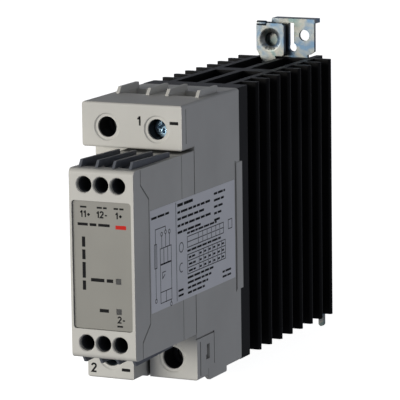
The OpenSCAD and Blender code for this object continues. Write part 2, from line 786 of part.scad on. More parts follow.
module terminal_block() {
  x = [module_mid - tblock_x, module_mid + tblock_x];
  difference() {
    union() {
      span(x, [tblock_front, tblock_back], [tblock_low, module_top - module_wall - 0.05]);
      span([module_mid - opening_x + 0.1, module_mid + opening_x - 0.1],
        [seam_near + 2.2, tblock_back + 1.4], [module_top - module_wall - 1, module_top - 0.6]);
      round_span([module_mid - nose_x, module_mid + nose_x],
        [module_front + lip_t + 0.1, tblock_front + 0.1], [small_z - nose_z, small_z + nose_z], 1);
      for (i = [-3 : 2 : 3]) divider(module_mid + i * small_pitch / 2);
    }
    for (x = small_x) {
      rod(x, small_z, [module_front, small_head_back], small_head_r + 0.3);
      rod(x, small_z, [small_head_back - 1, small_chamber_front + 1], small_screw_r + 0.02);
      span([x - 2.35, x + 2.35], [small_chamber_front, small_chamber_back],
        [tblock_low + 1, module_top + 4]);
      span([x - 1.7, x + 1.7], [contact_front - 0.1, contact_front + contact_t + 0.1],
        [tblock_low - 1, tblock_low + 2]);
    }
  }
}

module upper_terminal_block() { color(slate) terminal_block(); }
module lower_terminal_block() { color(slate) mirror([0, 0, 1]) terminal_block(); }

module small_screw(x, side) {
  color([0.72, 0.7, 0.62]) translate([x, 0, side * small_z]) difference() {
    union() {
      rod(0, 0, [small_head_front, small_head_back - 0.1], small_head_r);
      rod(0, 0, [small_head_back - 0.2, contact_front - 0.6], small_screw_r - 0.06);
    }
    for (a = [0, 90]) rotate([0, a, 0])
      span([-1.4, 1.4], [small_head_front - 1, small_head_front + 1], [-0.3, 0.3]);
  }
}

module small_cage(x, side) {
  w = small_cage_wall;
  color([0.68, 0.67, 0.62]) translate([x, 0, side * small_z]) difference() {
    span([-small_cage_x, small_cage_x], [small_cage_front, small_cage_back],
      [-small_cage_z, small_cage_z]);
    span([-small_cage_x + 0.5, small_cage_x - 0.5], [small_cage_front + w, small_cage_back - w],
      [-9, 9]);
    rod(0, 0, [small_cage_front - 1, small_cage_front + w + 0.5], small_screw_r);
  }
}

module control_screw_1() { small_screw(small_x[0], 1); }
module control_screw_2() { small_screw(small_x[1], 1); }
module control_screw_3() { small_screw(small_x[2], 1); }
module control_screw_4() { small_screw(small_x[2], -1); }
module control_cage_1() { small_cage(small_x[0], 1); }
module control_cage_2() { small_cage(small_x[1], 1); }
module control_cage_3() { small_cage(small_x[2], 1); }
module control_cage_4() { small_cage(small_x[2], -1); }

// Contact strip inside a cage, with a leg back to the board
module contact(x) {
  leg = tblock_low - 2;
  span([x - 1.55, x + 1.55], [contact_front, contact_front + contact_t], [leg, module_top - 2.2]);
  span([x - 0.4, x + 0.4], [contact_front, control_board_front], [leg, leg + 0.8]);
}

module upper_contacts() { color([0.85, 0.78, 0.5]) for (x = small_x) contact(x); }
module lower_contact() { color([0.85, 0.78, 0.5]) mirror([0, 0, 1]) contact(small_x[2]); }

module light_guides() {
  w = window_w / 2;
  color([0.42, 0.43, 0.44]) for (z = window_z)
    span([window_x - w, window_x + w], [module_front + recess_d - label_t, control_board_front - 1.3],
      [z - w, z + w]);
}

module status_leds() {
  color([0.9, 0.9, 0.8]) for (z = window_z)
    span([window_x - 0.8, window_x + 0.8], [control_board_front - 1.1, control_board_front],
      [z - 0.8, z + 0.8]);
}

module control_board() {
  color([0.1, 0.35, 0.2]) span([module_mid - 9.2, module_mid + 9.2],
    [control_board_front, control_board_back], [-module_top + 2, module_top - 2]);
}

module processor() {
  color([0.1, 0.1, 0.11]) span([module_mid - 6, module_mid + 1],
    [control_board_front - 1.4, control_board_front], [-5, 2]);
}

module alarm_relay() {
  color([0.92, 0.92, 0.9]) round_span([module_mid - 8, module_mid + 1],
    [control_board_front - 6, control_board_front], [5, 14], 0.4);
}

module supply_capacitors() {
  color([0.15, 0.15, 0.3]) for (z = [4.2, 11.8])
    rod(module_mid + 5.3, z, [control_board_front - 8, control_board_front], 3.1);
}

module board_connector() {
  color([0.08, 0.08, 0.09])
    span([module_mid - 5, module_mid + 5], [control_board_back, power_board_front], [-3.2, 3.2]);
}

heatsink();
rail_bracket();
bracket_screws();
rail_latch();
latch_spring();
spring_pin();
power_housing();
control_housing();
control_cover();
front_label();
side_label();
upper_terminal_block();
lower_terminal_block();
control_screw_1();
control_screw_2();
control_screw_3();
control_screw_4();
control_cage_1();
control_cage_2();
control_cage_3();
control_cage_4();
upper_contacts();
lower_contact();
light_guides();
status_leds();
control_board();
processor();
alarm_relay();
supply_capacitors();
board_connector();
power_board();
gate_driver();
snubber_capacitor();
snubber_resistor();
varistor();
current_sensor();
screw_guides();
power_screw_upper();
power_screw_lower();
power_cage_upper();
power_cage_lower();
busbar_upper();
busbar_lower();
base_plate();
thermal_pad();
substrate();
thyristors();
module_frame();
module_screws();
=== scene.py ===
import json
import math
import random

import bmesh
import bpy
from mathutils import Matrix, Vector


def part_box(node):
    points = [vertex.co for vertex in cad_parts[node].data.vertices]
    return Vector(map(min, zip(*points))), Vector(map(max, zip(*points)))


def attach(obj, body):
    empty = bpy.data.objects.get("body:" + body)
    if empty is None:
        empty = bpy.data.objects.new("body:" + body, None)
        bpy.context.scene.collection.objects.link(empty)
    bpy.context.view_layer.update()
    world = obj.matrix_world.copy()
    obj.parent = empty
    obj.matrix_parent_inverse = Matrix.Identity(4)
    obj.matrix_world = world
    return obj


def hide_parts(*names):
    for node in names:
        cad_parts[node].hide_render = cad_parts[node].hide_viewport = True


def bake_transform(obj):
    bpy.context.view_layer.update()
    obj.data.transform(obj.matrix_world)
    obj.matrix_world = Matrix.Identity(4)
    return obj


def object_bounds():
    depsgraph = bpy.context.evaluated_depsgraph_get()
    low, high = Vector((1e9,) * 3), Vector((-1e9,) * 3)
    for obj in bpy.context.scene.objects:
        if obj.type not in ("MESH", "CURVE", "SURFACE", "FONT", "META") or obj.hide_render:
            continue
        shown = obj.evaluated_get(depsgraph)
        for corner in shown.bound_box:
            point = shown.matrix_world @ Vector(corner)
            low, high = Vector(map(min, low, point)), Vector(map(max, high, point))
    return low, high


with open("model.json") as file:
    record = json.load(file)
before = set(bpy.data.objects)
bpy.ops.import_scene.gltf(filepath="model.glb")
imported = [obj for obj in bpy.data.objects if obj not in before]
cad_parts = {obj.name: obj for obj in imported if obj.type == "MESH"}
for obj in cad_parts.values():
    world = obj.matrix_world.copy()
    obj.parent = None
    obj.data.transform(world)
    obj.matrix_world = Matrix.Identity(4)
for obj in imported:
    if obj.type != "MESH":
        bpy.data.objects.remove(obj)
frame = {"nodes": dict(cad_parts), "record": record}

MM = 0.001
NODES = frame["nodes"]
cad_low, cad_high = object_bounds()
centre = (cad_low + cad_high) / 2


# ------------------------------------------------------------------ shader helpers

class Paint:
    """A material built up from nodes, one call at a time."""

    def __init__(self, name, **sockets):
        self.mat = bpy.data.materials.new(name)
        self.mat.use_nodes = True
        self.tree = self.mat.node_tree
        self.tree.nodes.clear()
        self.out = self.tree.nodes.new("ShaderNodeOutputMaterial")
        self.bsdf = self.tree.nodes.new("ShaderNodeBsdfPrincipled")
        self.tree.links.new(self.bsdf.outputs[0], self.out.inputs[0])
        self.coords = self.tree.nodes.new("ShaderNodeTexCoord")
        for socket, value in sockets.items():
            self.bsdf.inputs[socket.replace("_", " ")].default_value = value

    def node(self, kind, inputs=None, **settings):
        made = self.tree.nodes.new("ShaderNode" + kind)
        for key, value in settings.items():
            setattr(made, key, value)
        for key, value in (inputs or {}).items():
            self.feed(made.inputs[key], value)
        return made

    def feed(self, socket, value):
        if isinstance(value, bpy.types.NodeSocket):
            self.tree.links.new(value, socket)
        else:
            socket.default_value = value

    def place(self, stretch=(1, 1, 1)):
        """Object coordinates in millimetres, stretched by a factor along each axis."""
        scale = tuple(s / MM for s in stretch)
        return self.node("Mapping", {"Vector": self.coords.outputs["Object"], "Scale": scale}).outputs[0]

    def noise(self, scale, detail=4.0, rough=0.55, stretch=(1, 1, 1), distortion=0.0):
        """Noise with about scale bumps in a millimetre."""
        made = self.node("TexNoise", {"Vector": self.place(stretch), "Scale": scale, "Detail": detail,
                                      "Roughness": rough, "Distortion": distortion})
        return made.outputs["Fac"]

    def cells(self, scale):
        """The distance to the middle of the nearest cell."""
        return self.node("TexVoronoi", {"Vector": self.place(), "Scale": scale}).outputs["Distance"]

    def math(self, operation, a, b=0.0, clamp=False):
        return self.node("Math", {0: a, 1: b}, operation=operation, use_clamp=clamp).outputs[0]

    def remap(self, value, low, high, to_low=0.0, to_high=1.0):
        return self.node("MapRange", {"Value": value, "From Min": low, "From Max": high,
                                      "To Min": to_low, "To Max": to_high}).outputs[0]

    def ramp(self, value, *stops):
        """A colour ramp from (position, colour) pairs."""
        made = self.node("ValToRGB", {"Fac": value})
        points = made.color_ramp.elements
        while len(points) < len(stops):
            points.new(0.5)
        for point, (position, colour) in zip(points, stops):
            point.position, point.color = position, (*colour, 1)
        return made.outputs["Color"]

    def mix(self, share, a, b):
        made = self.node("Mix", data_type="RGBA")
        self.feed(made.inputs[0], share)
        for socket, value in ((made.inputs[6], a), (made.inputs[7], b)):
            self.feed(socket, value if isinstance(value, bpy.types.NodeSocket) else (*value, 1))
        return made.outputs[2]

    def edges(self, radius):
        """One on worn outer edges, nought on flats, from a rounded normal."""
        soft = self.node("Bevel", {"Radius": radius}, samples=4).outputs[0]
        true = self.node("NewGeometry").outputs["Normal"]
        dot = self.node("VectorMath", {0: soft, 1: true}, operation="DOT_PRODUCT").outputs["Value"]
        return self.remap(dot, 0.98, 0.75)

    def shelter(self, reach):
        """One in the open, nought deep inside holes, seams and corners."""
        return self.node("AmbientOcclusion", {"Distance": reach * MM}, samples=6).outputs["AO"]

    def bump(self, height, strength, distance, under=None):
        inputs = {"Height": height, "Strength": strength, "Distance": distance}
        if under is not None:
            inputs["Normal"] = under
        return self.node("Bump", inputs).outputs[0]

    def finish(self, colour=None, rough=None, normal=None):
        for key, value in (("Base Color", colour), ("Roughness", rough), ("Normal", normal)):
            if value is not None:
                self.feed(self.bsdf.inputs[key], value)
        return self.mat


def shade(colour, factor):
    return tuple(min(1.0, c * factor) for c in colour)


def moulded(name, colour, rough=0.5, grain=9.0, depth=0.012, mottling=0.05, wear_and_highlight=0.12, edge=0.25,
            painted_shade=0.85, reach=2.6):
    """Injection-moulded plastic: eroded grain, faint mottling, lighter edges that are partly wear and partly
    a painted highlight, and painted shade that darkens holes, seams and corners.
    """
    p = Paint(name, Metallic=0.0, IOR=1.49)
    broad = p.noise(0.045, 3)
    fine = p.noise(grain, 3, 0.6)
    tone = p.ramp(broad, (0.3, shade(colour, 1 - mottling)), (0.7, shade(colour, 1 + mottling)))
    dust = p.remap(p.noise(0.6, 5), 0.62, 0.8, 0.0, 0.5)
    tone = p.mix(dust, tone, shade(colour, 0.93))
    # Lighter outer edges: partly real wear and partly a painted highlight standing in for lit edges, most of
    # all on the slate ribs.
    worn = p.math("MULTIPLY", p.edges(edge * MM), p.remap(p.noise(0.35, 4), 0.35, 0.7))
    tone = p.mix(p.math("MULTIPLY", worn, wear_and_highlight), tone, shade(colour, 1.35))
    # Painted shade: deep in holes, seams and corners the colour is darkened towards black by ambient
    # occlusion, standing in for shade.
    tone = p.mix(p.remap(p.shelter(reach), 0.6, 0.12, 0.0, painted_shade), tone, shade(colour, 0.05))
    gloss = p.remap(fine, 0.2, 0.8, rough - 0.07, rough + 0.09)
    gloss = p.math("SUBTRACT", gloss, p.math("MULTIPLY", worn, 0.15), clamp=True)
    relief = p.bump(p.noise(0.12, 2), 0.12, 0.05 * MM)
    return p.finish(tone, gloss, p.bump(fine, 0.35, depth * MM, relief))


def anodised(name):
    """Black anodised extrusion: die lines along Z, matt dye, faint rubbed edges."""
    black = (0.004, 0.004, 0.0044)
    p = Paint(name, Metallic=0.0, IOR=1.33, Specular_IOR_Level=0.22)
    lines = p.noise(3.5, 3, 0.6, (1, 1, 0.004))
    broad = p.noise(0.05, 3)
    grain = p.noise(14, 2)
    tone = p.ramp(broad, (0.35, shade(black, 0.75)), (0.65, shade(black, 1.4)))
    tone = p.mix(p.remap(lines, 0.5, 0.75, 0, 0.35), tone, shade(black, 2.1))
    worn = p.math("MULTIPLY", p.edges(0.3 * MM), p.remap(p.noise(0.5, 5), 0.5, 0.72))
    tone = p.mix(p.math("MULTIPLY", worn, 0.3), tone, (0.05, 0.05, 0.052))
    # Sawn ends are a little lighter, with fine marks across them
    up = p.node("SeparateXYZ", {0: p.node("NewGeometry").outputs["Normal"]}).outputs[2]
    sawn = p.remap(p.math("ABSOLUTE", up), 0.9, 0.99)
    marks = p.noise(6, 2, 0.5, (0.05, 1, 1))
    tone = p.mix(sawn, tone, p.ramp(marks, (0.3, (0.017, 0.0175, 0.018)), (0.7, (0.042, 0.043, 0.044))))
    gloss = p.remap(grain, 0.25, 0.75, 0.42, 0.58)
    height = p.math("ADD", p.math("MULTIPLY", lines, 0.8), p.math("MULTIPLY", grain, 0.4))
    return p.finish(tone, gloss, p.bump(height, 0.3, 0.015 * MM))


CLOUDS = ((0.30, (0.46, 0.62, 0.78)), (0.45, (0.80, 0.83, 0.84)),
          (0.58, (0.88, 0.87, 0.82)), (0.70, (0.62, 0.74, 0.72)))


def plated(name, colour, rough=0.3, tint=0.5, spangle=0.35, brush=(1, 1, 0.06), patina=0.25,
           clouds=CLOUDS, painted_shade=0.9):
    """Zinc or copper plate: blue and straw passivation clouds, spangle, rolling scratches, and painted shade
    darkening holes and gaps.
    """
    p = Paint(name, Metallic=1.0)
    hue = p.ramp(p.noise(0.15, 3, 0.55, distortion=0.5), *clouds)
    base = p.mix(tint, colour, hue)
    grains = p.cells(0.8)
    base = p.mix(p.remap(grains, 0.2, 0.9, 0.0, spangle), base, shade(colour, 0.62))
    dirt = p.remap(p.noise(0.9, 6, 0.65), 0.55, 0.78, 0.0, patina)
    base = p.mix(dirt, base, shade(colour, 0.4))
    # Painted shade: in holes, gaps and behind other parts the colour is darkened towards black by ambient
    # occlusion, standing in for shade.
    base = p.mix(p.remap(p.shelter(5.0), 0.42, 0.16, 0.0, painted_shade), base, shade(colour, 0.03))
    scratch = p.noise(5, 3, 0.6, brush)
    gloss = p.remap(scratch, 0.25, 0.8, rough - 0.08, rough + 0.14)
    gloss = p.math("ADD", gloss, p.math("MULTIPLY", dirt, 0.4), clamp=True)
    height = p.math("ADD", scratch, p.math("MULTIPLY", p.noise(0.5, 3), 0.8))
    return p.finish(base, gloss, p.bump(height, 0.22, 0.02 * MM))


def film(name, colour, rough=0.42):
    """Printed label film: a smooth satin sheet with a faint weave and soft waves."""
    p = Paint(name, Metallic=0.0, IOR=1.5)
    tone = p.ramp(p.noise(0.06, 2), (0.3, shade(colour, 0.96)), (0.7, shade(colour, 1.04)))
    specks = p.remap(p.noise(3.0, 5, 0.7), 0.66, 0.75, 0.0, 0.35)
    tone = p.mix(specks, tone, shade(colour, 0.86))
    gloss = p.remap(p.noise(7, 3), 0.3, 0.7, rough - 0.05, rough + 0.07)
    waves = p.bump(p.noise(0.08, 2), 0.25, 0.08 * MM)
    return p.finish(tone, gloss, p.bump(p.noise(12, 2), 0.15, 0.006 * MM, waves))


def ink(name, colour):
    """Screen-printed ink, thin in places."""
    p = Paint(name, Metallic=0.0, IOR=1.35, Specular_IOR_Level=0.15)
    thin = p.remap(p.noise(5, 4, 0.7), 0.55, 0.78)
    tone = p.mix(p.math("MULTIPLY", thin, 0.25), colour, shade(colour, 2.2))
    gloss = p.remap(p.noise(9, 3), 0.3, 0.7, 0.5, 0.65)
    return p.finish(tone, gloss, p.bump(p.noise(9, 2), 0.2, 0.004 * MM))


def board(name):
    """Circuit board: green mask with copper tracks showing as raised lighter lines."""
    p = Paint(name, Metallic=0.0, IOR=1.5)
    run = p.node("TexBrick", {"Vector": p.place((1, 1, 1)), "Scale": 0.35, "Mortar Size": 0.03,
                              "Color1": (0, 0, 0, 1), "Color2": (0, 0, 0, 1), "Mortar": (1, 1, 1, 1)})
    spots = p.remap(p.cells(0.6), 0.16, 0.12)
    track = p.math("MAXIMUM", run.outputs["Fac"], spots)
    tone = p.mix(track, (0.012, 0.10, 0.045), (0.05, 0.22, 0.10))
    tone = p.mix(p.remap(p.noise(0.3, 4), 0.4, 0.7, 0, 0.4), tone, (0.01, 0.07, 0.035))
    return p.finish(tone, p.remap(p.noise(4, 3), 0.3, 0.7, 0.25, 0.4), p.bump(track, 0.4, 0.035 * MM))


def smoked(name):
    """Light guide: dark smoked plastic with a fine prism texture."""
    p = Paint(name, Metallic=0.0, IOR=1.4, Specular_IOR_Level=0.25, Coat_Weight=0.08)
    ribs = p.node("TexWave", {"Vector": p.place(), "Scale": 2.2, "Distortion": 0.3},
                  bands_direction="DIAGONAL")
    tone = p.ramp(ribs.outputs["Fac"], (0.2, (0.055, 0.056, 0.056)), (0.8, (0.125, 0.126, 0.124)))
    tone = p.mix(p.remap(p.noise(0.8, 3), 0.4, 0.7, 0, 0.4), tone, (0.05, 0.051, 0.052))
    gloss = p.remap(p.noise(6, 2), 0.3, 0.7, 0.34, 0.46)
    return p.finish(tone, gloss, p.bump(ribs.outputs["Fac"], 0.3, 0.03 * MM))


def ceramic(name, colour, rough=0.55, speck=0.2):
    """Fired or lacquered coat: matt, with small darker specks."""
    p = Paint(name, Metallic=0.0, IOR=1.6)
    tone = p.mix(p.remap(p.cells(1.4), 0.2, 0.5, speck, 0.0), colour, shade(colour, 0.75))
    tone = p.mix(p.remap(p.noise(0.3, 3), 0.4, 0.7, 0.0, 0.3), tone, shade(colour, 0.9))
    gloss = p.remap(p.noise(6, 3), 0.3, 0.7, rough - 0.08, rough + 0.08)
    return p.finish(tone, gloss, p.bump(p.noise(10, 3), 0.3, 0.01 * MM))


CREAM = (0.60, 0.592, 0.55)
SLATE = (0.115, 0.125, 0.145)
ZINC = (0.25, 0.262, 0.267)
PASSIVATED = ((0.36, (0.10, 0.18, 0.28)), (0.48, (0.24, 0.265, 0.27)),
              (0.55, (0.29, 0.29, 0.26)), (0.66, (0.15, 0.22, 0.215)))

MATERIALS = {
    "black_anodised": anodised("Black_anodised"),
    "zinc_steel": plated("Zinc_plated_steel", ZINC, 0.42, 0.9, 0.15, clouds=PASSIVATED),
    "spring_steel": plated("Spring_steel", (0.5, 0.5, 0.52), 0.25, 0.1, 0.1),
    "housing_plastic": moulded("Housing_plastic", CREAM, 0.52),
    # Slate plastic: the strong edge lightening is a painted highlight on the rib edges, and the far-reaching
    # occlusion darkening is painted shade on the rib sides.
    "slate_plastic": moulded("Slate_plastic", SLATE, 0.48, wear_and_highlight=0.4, painted_shade=0.97, reach=6.0),
    "label_foil": film("Label_film", (0.285, 0.28, 0.25)),
    "smoked_plastic": smoked("Smoked_plastic"),
    "led_lens": moulded("Led_lens", (0.75, 0.75, 0.62), 0.2, wear_and_highlight=0.0),
    "board": board("Circuit_board"),
    "black_plastic": moulded("Black_plastic", (0.012, 0.012, 0.013), 0.55, wear_and_highlight=0.3),
    "white_plastic": moulded("White_plastic", (0.78, 0.78, 0.75), 0.4),
    "capacitor_can": plated("Capacitor_sleeve", (0.1, 0.1, 0.22), 0.35, 0.05, 0.05),
    "film_box": moulded("Film_capacitor_box", (0.62, 0.42, 0.06), 0.38),
    "resistor_body": ceramic("Resistor_lacquer", (0.2, 0.34, 0.42), 0.35),
    "varistor_coat": ceramic("Varistor_coat", (0.03, 0.07, 0.3), 0.32),
    "tinned_brass": plated("Tinned_brass", (0.78, 0.70, 0.45), 0.28, 0.15, 0.1),
    "copper": plated("Copper_strip", (0.75, 0.36, 0.20), 0.28, 0.05, 0.1, patina=0.4),
    "nickel_copper": plated("Copper_base", (0.72, 0.45, 0.30), 0.3, 0.1, 0.1),
    "cage_steel": plated("Yellow_zinc_steel", (0.72, 0.66, 0.46), 0.3, 0.25, 0.2),
    "thermal_paste": ceramic("Thermal_pad", (0.6, 0.6, 0.57), 0.7),
    "alumina": ceramic("Alumina", (0.85, 0.84, 0.8), 0.5),
    "silicon": ceramic("Silicon", (0.12, 0.12, 0.15), 0.2),
}
SIDE_FILM = film("Side_label_film", (0.86, 0.86, 0.875))
INK = ink("Printed_ink", (0.012, 0.012, 0.013))
RED_INK = ink("Printed_accent", (0.60, 0.025, 0.018))
BLUE_ZINC = plated("Blue_zinc_screw", (0.36, 0.60, 0.78), 0.2, 0.35, 0.1, brush=(1, 1, 1), painted_shade=0.6)


# ------------------------------------------------------------------ CAD nodes

def sharp_by_angle(degrees):
    """A modifier group that keeps edges sharper than this angle hard, and smooths the rest."""
    group = bpy.data.node_groups.new(f"Smooth_under_{degrees}", "GeometryNodeTree")
    group.interface.new_socket("Geometry", in_out="INPUT", socket_type="NodeSocketGeometry")
    group.interface.new_socket("Geometry", in_out="OUTPUT", socket_type="NodeSocketGeometry")
    nodes, links = group.nodes, group.links
    start, end = nodes.new("NodeGroupInput"), nodes.new("NodeGroupOutput")
    faces, edges = nodes.new("GeometryNodeSetShadeSmooth"), nodes.new("GeometryNodeSetShadeSmooth")
    faces.domain, edges.domain = "FACE", "EDGE"
    edges.inputs["Shade Smooth"].default_value = False
    angle = nodes.new("GeometryNodeInputMeshEdgeAngle")
    over = nodes.new("FunctionNodeCompare")
    over.operation = "GREATER_THAN"
    over.inputs[1].default_value = math.radians(degrees)
    links.new(start.outputs[0], faces.inputs["Geometry"])
    links.new(faces.outputs[0], edges.inputs["Geometry"])
    links.new(angle.outputs["Unsigned Angle"], over.inputs[0])
    links.new(over.outputs[0], edges.inputs["Selection"])
    links.new(edges.outputs[0], end.inputs[0])
    return group


SMOOTH = sharp_by_angle(32)
FLOWING = sharp_by_angle(52)


def soften(obj, width):
    """Joins the split corners of a CAD mesh, merges its flat faces and rounds its edges."""
    weld = obj.modifiers.new("Weld", "WELD")
    weld.merge_threshold = 0.002 * MM
    if not obj.name.startswith("control_cage"):
        flat = obj.modifiers.new("Flat_faces", "DECIMATE")
        flat.decimate_type, flat.angle_limit = "DISSOLVE", math.radians(0.5)
    if width:
        bevel = obj.modifiers.new("Bevel", "BEVEL")
        bevel.width, bevel.segments = width * MM, 2
        bevel.limit_method, bevel.angle_limit = "ANGLE", math.radians(40)
    smooth = obj.modifiers.new("Smooth", "NODES")
    smooth.node_group = FLOWING if obj.name.startswith("rail_latch") else SMOOTH
    normals = obj.modifiers.new("Normals", "WEIGHTED_NORMAL")
    normals.keep_sharp = True


ROUNDING = {
    "heatsink": 0.18, "power_housing": 0.3, "control_housing": 0.25, "control_cover": 0.28,
    "rail_bracket": 0.2, "rail_latch": 0.1, "upper_terminal_block": 0.15, "lower_terminal_block": 0.15,
    "power_screw_upper": 0.15, "power_screw_lower": 0.15, "bracket_screws": 0.15,
    "front_label": 0, "side_label": 0.04, "latch_spring": 0, "light_guides": 0.08, "thermal_pad": 0,
    "substrate": 0.05, "thyristors": 0.05, "status_leds": 0.1, "control_board": 0.08, "power_board": 0.08,
}

slot_of = {s["node"]: s["material_slot"] for s in frame["record"]["subparts"]}
for name, obj in NODES.items():
    material = MATERIALS[slot_of[name]]
    if name == "side_label":
        material = SIDE_FILM
    if name.startswith("power_screw"):
        material = BLUE_ZINC
    obj.data.materials.clear()
    obj.data.materials.append(material)
    soften(obj, ROUNDING.get(name, 0.12))


# ------------------------------------------------------------------ latch spring

def coil(name, low, high, wire, turns, closed=0.9, steps=44, sides=12):
    """A compression spring with closed end turns, standing between two corners of a box."""
    middle, radius = (low + high) / 2, (high.x - low.x) / 2 - wire
    span, ends = high.z - low.z - 2 * wire, closed * 2.04 * wire
    count = int(turns * steps)

    def centreline(t):
        a, turn = 2 * math.pi * turns * t, turns * t
        if turn < closed:
            z = ends * turn / closed
        elif turn > turns - closed:
            z = span - ends * (turns - turn) / closed
        else:
            z = ends + (span - 2 * ends) * (turn - closed) / (turns - 2 * closed)
        return Vector((middle.x + radius * math.cos(a), middle.y + radius * math.sin(a), low.z + wire + z))

    work = bmesh.new()
    rings = []
    for i in range(count + 1):
        t = i / count
        here = centreline(t)
        along = (centreline(min(1, t + 1e-4)) - centreline(max(0, t - 1e-4))).normalized()
        outward = Vector((here.x - middle.x, here.y - middle.y, 0)).normalized()
        across = along.cross(outward)
        rings.append([work.verts.new(here + wire * (outward * math.cos(b) + across * math.sin(b)))
                      for b in (2 * math.pi * k / sides for k in range(sides))])
    for one, two in zip(rings, rings[1:]):
        for k in range(sides):
            n = (k + 1) % sides
            work.faces.new((one[k], two[k], two[n], one[n])).smooth = True
    work.faces.new(rings[0])
    work.faces.new(rings[-1][::-1])
    bmesh.ops.recalc_face_normals(work, faces=work.faces)
    data = bpy.data.meshes.new(name)
    work.to_mesh(data)
    work.free()
    obj = bpy.data.objects.new(name, data)
    bpy.context.scene.collection.objects.link(obj)
    return obj


spring_low, spring_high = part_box("latch_spring")
spring = coil("Latch_spring_coil", spring_low, spring_high, 0.28 * MM, 7)
spring.data.materials.append(MATERIALS["spring_steel"])
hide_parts("latch_spring")
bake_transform(spring)


# ------------------------------------------------------------------ printing

INK_T = 0.02 * MM


